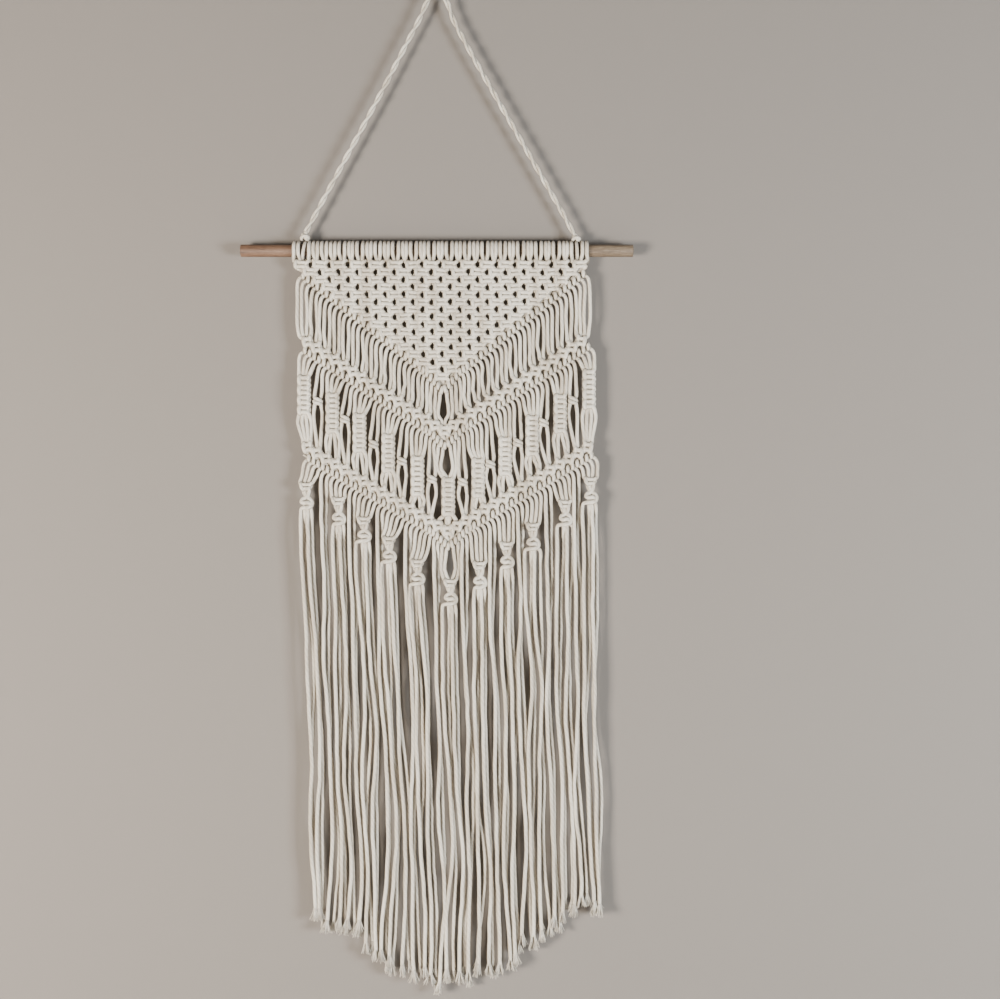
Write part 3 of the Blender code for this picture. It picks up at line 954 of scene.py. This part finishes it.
# The strands, each cut into pieces at the same places.
pieces = {
    name: Cords()
    for name in (
        "dowelLoops",
        "netKnotsLeft",
        "netKnotsRight",
        "upperHitches",
        "upperStrands",
        "middleKnots",
        "middleHitches",
        "braidCords",
        "lowerKnots",
        "lowerHitches",
        "fringeStrands",
    )
}
laying = {
    "steps": {"fringeStrands": 4.0, "upperStrands": 2.6, "braidCords": 1.5},
    "step": 1.35,
    "sides": 8,
}
for strand in range(strands):
    parts = [
        ("dowelLoops", loopLeg(strand)),
        ("netKnotsLeft" if strand < middle else "netKnotsRight", netKnots(strand)),
        ("upperHitches", hitchOn(strand, "upper")),
        ("upperStrands", underUpper(strand)),
        ("middleKnots", barKnots(strand, "middle")),
        ("middleHitches", hitchOn(strand, "middle")),
        ("braidCords", underMiddle(strand)),
        ("lowerKnots", barKnots(strand, "lower")),
        ("lowerHitches", hitchOn(strand, "lower")),
        ("fringeStrands", underLower(strand)),
    ]
    across, run = None, 0.0
    for i, (name, points) in enumerate(parts):
        before = parts[i - 1][1][-2:] if i else []
        after = parts[i + 1][1][:2] if i + 1 < len(parts) else []
        line = smooth(before + points + after, laying["steps"].get(name, laying["step"]))
        start = next(k for k, p in enumerate(line) if p == Vector(points[0])) if before else 0
        stop = len(line)
        if after:
            stop = next(k for k, p in enumerate(line) if p == Vector(after[0])) + 1
        across, run = pieces[name].sweep(line, laying["sides"], start, stop, across, run)
say("strands laid")

# The core cord that each bar's hitches are wound on.
core = {
    "inset": 5.0,
    "endDrop": 3.2,
    "apex": 4,
    "rise": 3.0,
    "fall": 2.5,
    "thin": 0.8,
    "thick": 0.9,
    "step": 4.0,
    "sides": 6,
}
for name, bar in bars.items():
    (left, leftDrop), (mid, midDrop), (right, rightDrop) = bar["left"], bar["apex"], bar["right"]
    thin, thick, below = core["thin"], core["thick"], bar["below"]
    route = [
        (left + core["inset"], 0.0, leftDrop + below + core["endDrop"], thin),
        ((left + mid) / 2, 0.0, (leftDrop + midDrop) / 2 + below, thick),
        (mid - core["apex"], 0.0, midDrop + below - core["rise"], thick),
        (mid, 0.0, midDrop + below + core["fall"], thick),
        (mid + core["apex"], 0.0, midDrop + below - core["rise"], thick),
        ((right + mid) / 2, 0.0, (rightDrop + midDrop) / 2 + below, thick),
        (right - core["inset"], 0.0, rightDrop + below + core["endDrop"], thin),
    ]
    pieces[name + "Hitches"].sweep(smooth(route, core["step"]), core["sides"])

for name, made in pieces.items():
    if name in ("fringeStrands", "lowerHitches"):
        made.piece(name, cotton, "cotton", "fringe")
    else:
        made.piece(name, cotton, "cotton", "knotted_panel")

# The frayed ends: clumps of fine fibres that flare out and lean as their strand does.
fray = {
    "seed": 500,
    "fibres": 46,
    "clumps": 5,
    "far": (0.35, 1.0),
    "turn": 0.7,
    "flare": 5.0,
    "length": (0.72, 1.12),
    "start": (0.25, 1.0),
    "lean": 0.5,
    "root": 1.8,
    "radii": (0.45, 0.46, 0.4, 0.17),
    "step": 2.2,
    "sides": 4,
}
tufts = Cords()
for strand in range(strands):
    tuftDice = random.Random(fray["seed"] + strand)
    points = underLower(strand)
    x, y, drop, _ = points[-1]
    before = points[-3]
    lean = (x - before[0]) / (drop - before[2])
    lean = max(-fray["lean"], min(fray["lean"], lean))
    clumps = [
        (tuftDice.uniform(0, math.tau), tuftDice.uniform(*fray["far"]))
        for _ in range(fray["clumps"])
    ]
    for k in range(fray["fibres"]):
        way, far = clumps[k % fray["clumps"]]
        angle = way + tuftDice.uniform(-fray["turn"], fray["turn"])
        out = fray["flare"] * far * tuftDice.uniform(*fray["far"])
        length = fringe["tuft"] * tuftDice.uniform(*fray["length"])
        start = fringe["tip"] * tuftDice.uniform(*fray["start"])
        a, b, root = math.cos(angle), math.sin(angle), fray["root"]
        bend, middleOut, endOut = start + 0.1 * out, start + 0.45 * out, start + out
        places = (
            (x + start * a - root * lean, y + start * b, drop - root),
            (x + bend * a, y + bend * b, drop),
            (x + middleOut * a + 3.5 * lean, y + (start + 0.4 * out) * b, drop + 0.48 * length),
            (x + endOut * a + 6 * lean, y + (start + 0.7 * out) * b, drop + length),
        )
        line = [(*place, radius) for place, radius in zip(places, fray["radii"])]
        tufts.sweep(smooth(line, fray["step"], fray["step"]), fray["sides"])
tufts.piece("frayedEnds", cottonFray, "cotton", "fringe")

# The hanging cord's ends: a turn of cord round the dowel and a knot on top of it.
ties = (
    {"node": "hanger_tie_left", "x": -103.0, "knot": -102.5, "drop": -10.6, "lean": 1.2, "size": 1.0},
    {"node": "hanger_tie_right", "x": 108.55, "knot": 108.4, "drop": -9.5, "lean": -0.4, "size": 0.9},
)
tieTurn = {"orbit": 6.35, "radius": 1.35, "step": 1.4, "knotStep": 1.0, "coreStep": 1.2, "sides": 8}
for tie in ties:
    cords = Cords()
    ring = []
    for angle in range(-170, 191, 30):
        x = tie["x"] - tie["lean"] * math.cos(math.radians(angle))
        ring.append((*roundRod(x, angle, tieTurn["orbit"])[:3], tieTurn["radius"]))
    cords.sweep(smooth(ring, tieTurn["step"]), tieTurn["sides"])
    x, drop, size = tie["knot"], tie["drop"], tie["size"]
    bend = [
        (x - 2.6, 0.6, drop + 2.6, 1.3),
        (x - 2.7 * size, -1.3, drop + 0.8, 1.35),
        (x - 0.4, -2.3, drop - 0.6, 1.4),
        (x + 2.3 * size, -1.6, drop + 0.2, 1.4),
        (x + 2.5 * size, 0.8, drop + 1.4, 1.4),
        (x + 0.2, 2.2, drop + 1.0, 1.4),
        (x - 2.2 * size, 1.2, drop - 0.6, 1.4),
        (x - 1.6, -0.9, drop - 1.9, 1.35),
        (x + 0.8, -1.7, drop + 1.5, 1.35),
        (x + 2.4, -0.6, drop + 3.0, 1.3),
    ]
    cords.sweep(smooth(bend, tieTurn["knotStep"]), tieTurn["sides"])
    isLeft = tie["x"] < 0
    ropeEnd = spine[0] if isLeft else spine[-1]
    inside = [(x, 0, drop + 1.5, 1.9), (x, 0, drop - 0.8, 2.0), (ropeEnd[0], 0, ropeEnd[2] - 0.5, 1.7)]
    cords.sweep(smooth(inside, tieTurn["coreStep"]), tieTurn["sides"])
    cords.piece("tieLeft" if isLeft else "tieRight", cotton, "cotton", tie["node"])

# The dowel: fine and broad grain along it, reddish at its left end and yellower at its right.
dowel = {"half": 152.5, "radius": 4.75, "edge": 0.45, "edgeStep": 0.15, "sides": 48}
woodLook = {
    "stretch": (0.09, 1.0, 1.0),
    "grain": {"Scale": 1300.0, "Detail": 6.0, "Roughness": 0.7},
    "broad": {"Scale": 160.0, "Detail": 3.0},
    "weights": (0.55, 0.45),
    "tones": (0.38, 0.5, 0.62),
    "reddish": ((0.05, 0.023, 0.011), (0.125, 0.065, 0.036), (0.20, 0.115, 0.07)),
    "yellow": ((0.07, 0.044, 0.023), (0.16, 0.113, 0.07), (0.26, 0.20, 0.13)),
    "change": 3.3,
    "bump": {"Distance": 0.0002, "Strength": 0.6},
    "surface": {"Roughness": 0.62},
}


def woodMaterial(name):
    wood = Nodes(name)
    place = wood.add("TexCoord").outputs["Object"]
    axes = wood.add("SeparateXYZ", {0: place})
    stretched = wood.add("Mapping", {"Vector": place, "Scale": woodLook["stretch"]}).outputs[0]
    grain = wood.add("TexNoise", {"Vector": stretched, **woodLook["grain"]}).outputs[0]
    broad = wood.add("TexNoise", {"Vector": stretched, **woodLook["broad"]}).outputs[0]
    fine, coarse = woodLook["weights"]
    mixed = wood.weigh((grain, fine), (broad, coarse))
    reddish = wood.ramp(mixed, list(zip(woodLook["tones"], woodLook["reddish"])))
    yellow = wood.ramp(mixed, list(zip(woodLook["tones"], woodLook["yellow"])))
    across = wood.math("ADD", wood.math("MULTIPLY", axes.outputs[0], woodLook["change"]), 0.5)
    both = wood.add("Mix", {0: across, 6: reddish, 7: yellow}, data_type="RGBA", clamp_factor=True)
    bump = wood.add("Bump", {"Height": grain, **woodLook["bump"]})
    return wood.finish(both.outputs[2], bump.outputs[0], woodLook["surface"])


half, radius, edge, edgeStep = dowel["half"], dowel["radius"], dowel["edge"], dowel["edgeStep"]
rodCords = Cords()
rodCords.sweep(
    [
        (-half, 0, 0, radius - edge),
        (-half + edgeStep, 0, 0, radius - edgeStep),
        (-half + edge, 0, 0, radius),
        (-half / 2, 0, 0, radius),
        (0, 0, 0, radius),
        (half / 2, 0, 0, radius),
        (half - edge, 0, 0, radius),
        (half - edgeStep, 0, 0, radius - edgeStep),
        (half, 0, 0, radius - edge),
    ],
    dowel["sides"],
)
rodCords.piece("dowelRod", woodMaterial("dowel wood"), "dowel", "dowel")

# The room. The wall shows from its front only, and casts no shadow, so that views from behind see
# the hanging by the rear light.
room = {
    "wall": 0.0088,
    "floor": -1.15,
    "size": 3.0,
    "wallColour": (0.20, 0.178, 0.155),
    "floorColour": (0.62, 0.60, 0.57),
    "roughness": 0.9,
}


def stagePaint(name, colour):
    paint = Nodes(name)
    paint.shader.inputs["Base Color"].default_value = (*colour, 1.0)
    paint.shader.inputs["Roughness"].default_value = room["roughness"]
    return paint


def stageSheet(paint, corners):
    name = paint.material.name
    bm = bmesh.new()
    bm.faces.new([bm.verts.new(corner) for corner in corners])
    mesh = bpy.data.meshes.new(name)
    bm.to_mesh(mesh)
    bm.free()
    mesh.materials.append(paint.material)
    sheet = bpy.data.objects.new(name, mesh)
    bpy.context.scene.collection.objects.link(sheet)
    return sheet


size, back, low = room["size"], room["wall"], room["floor"]
wallPaint = stagePaint("wall", room["wallColour"])
clear = wallPaint.add("BsdfTransparent")
behind = wallPaint.add("NewGeometry").outputs["Backfacing"]
shown = {0: behind, 1: wallPaint.shader.outputs[0], 2: clear.outputs[0]}
pick = wallPaint.add("MixShader", shown)
surface = wallPaint.tree.nodes["Material Output"].inputs["Surface"]
wallPaint.tree.links.new(pick.outputs[0], surface)
wall = stageSheet(
    wallPaint, [(-size, back, low), (size, back, low), (size, back, size), (-size, back, size)]
)
wall.visible_shadow = False
floor = stageSheet(
    stagePaint("floor", room["floorColour"]),
    [(-size, -size, low), (size, -size, low), (size, size, low), (-size, size, low)],
)

lights = (
    {"name": "key", "at": (-1.15, -1.15, -0.65), "size": 0.45, "power": 60.0, "tint": (1.0, 0.93, 0.85)},
    {"name": "fill", "at": (1.3, -1.05, -0.6), "size": 0.5, "power": 46.0, "tint": (0.90, 0.95, 1.0)},
    {"name": "rear", "at": (0.5, 1.7, 0.3), "size": 1.4, "power": 15.0, "tint": (1.0, 1.0, 1.0)},
)
sky = {"aim": (0.0, 0.0, -0.39), "colour": (0.9, 0.93, 1.0, 1.0), "strength": 0.07}
for light in lights:
    data = bpy.data.lights.new(light["name"], "AREA")
    data.size = light["size"]
    data.energy = light["power"]
    data.color = light["tint"]
    lamp = bpy.data.objects.new(light["name"], data)
    bpy.context.scene.collection.objects.link(lamp)
    lamp.location = light["at"]
    aim = Vector(sky["aim"]) - lamp.location
    lamp.rotation_euler = aim.to_track_quat("-Z", "Y").to_euler()
world = bpy.data.worlds.new("world")
world.use_nodes = True
world.node_tree.nodes["Background"].inputs[0].default_value = sky["colour"]
world.node_tree.nodes["Background"].inputs[1].default_value = sky["strength"]
bpy.context.scene.world = world
say("room and lights set")
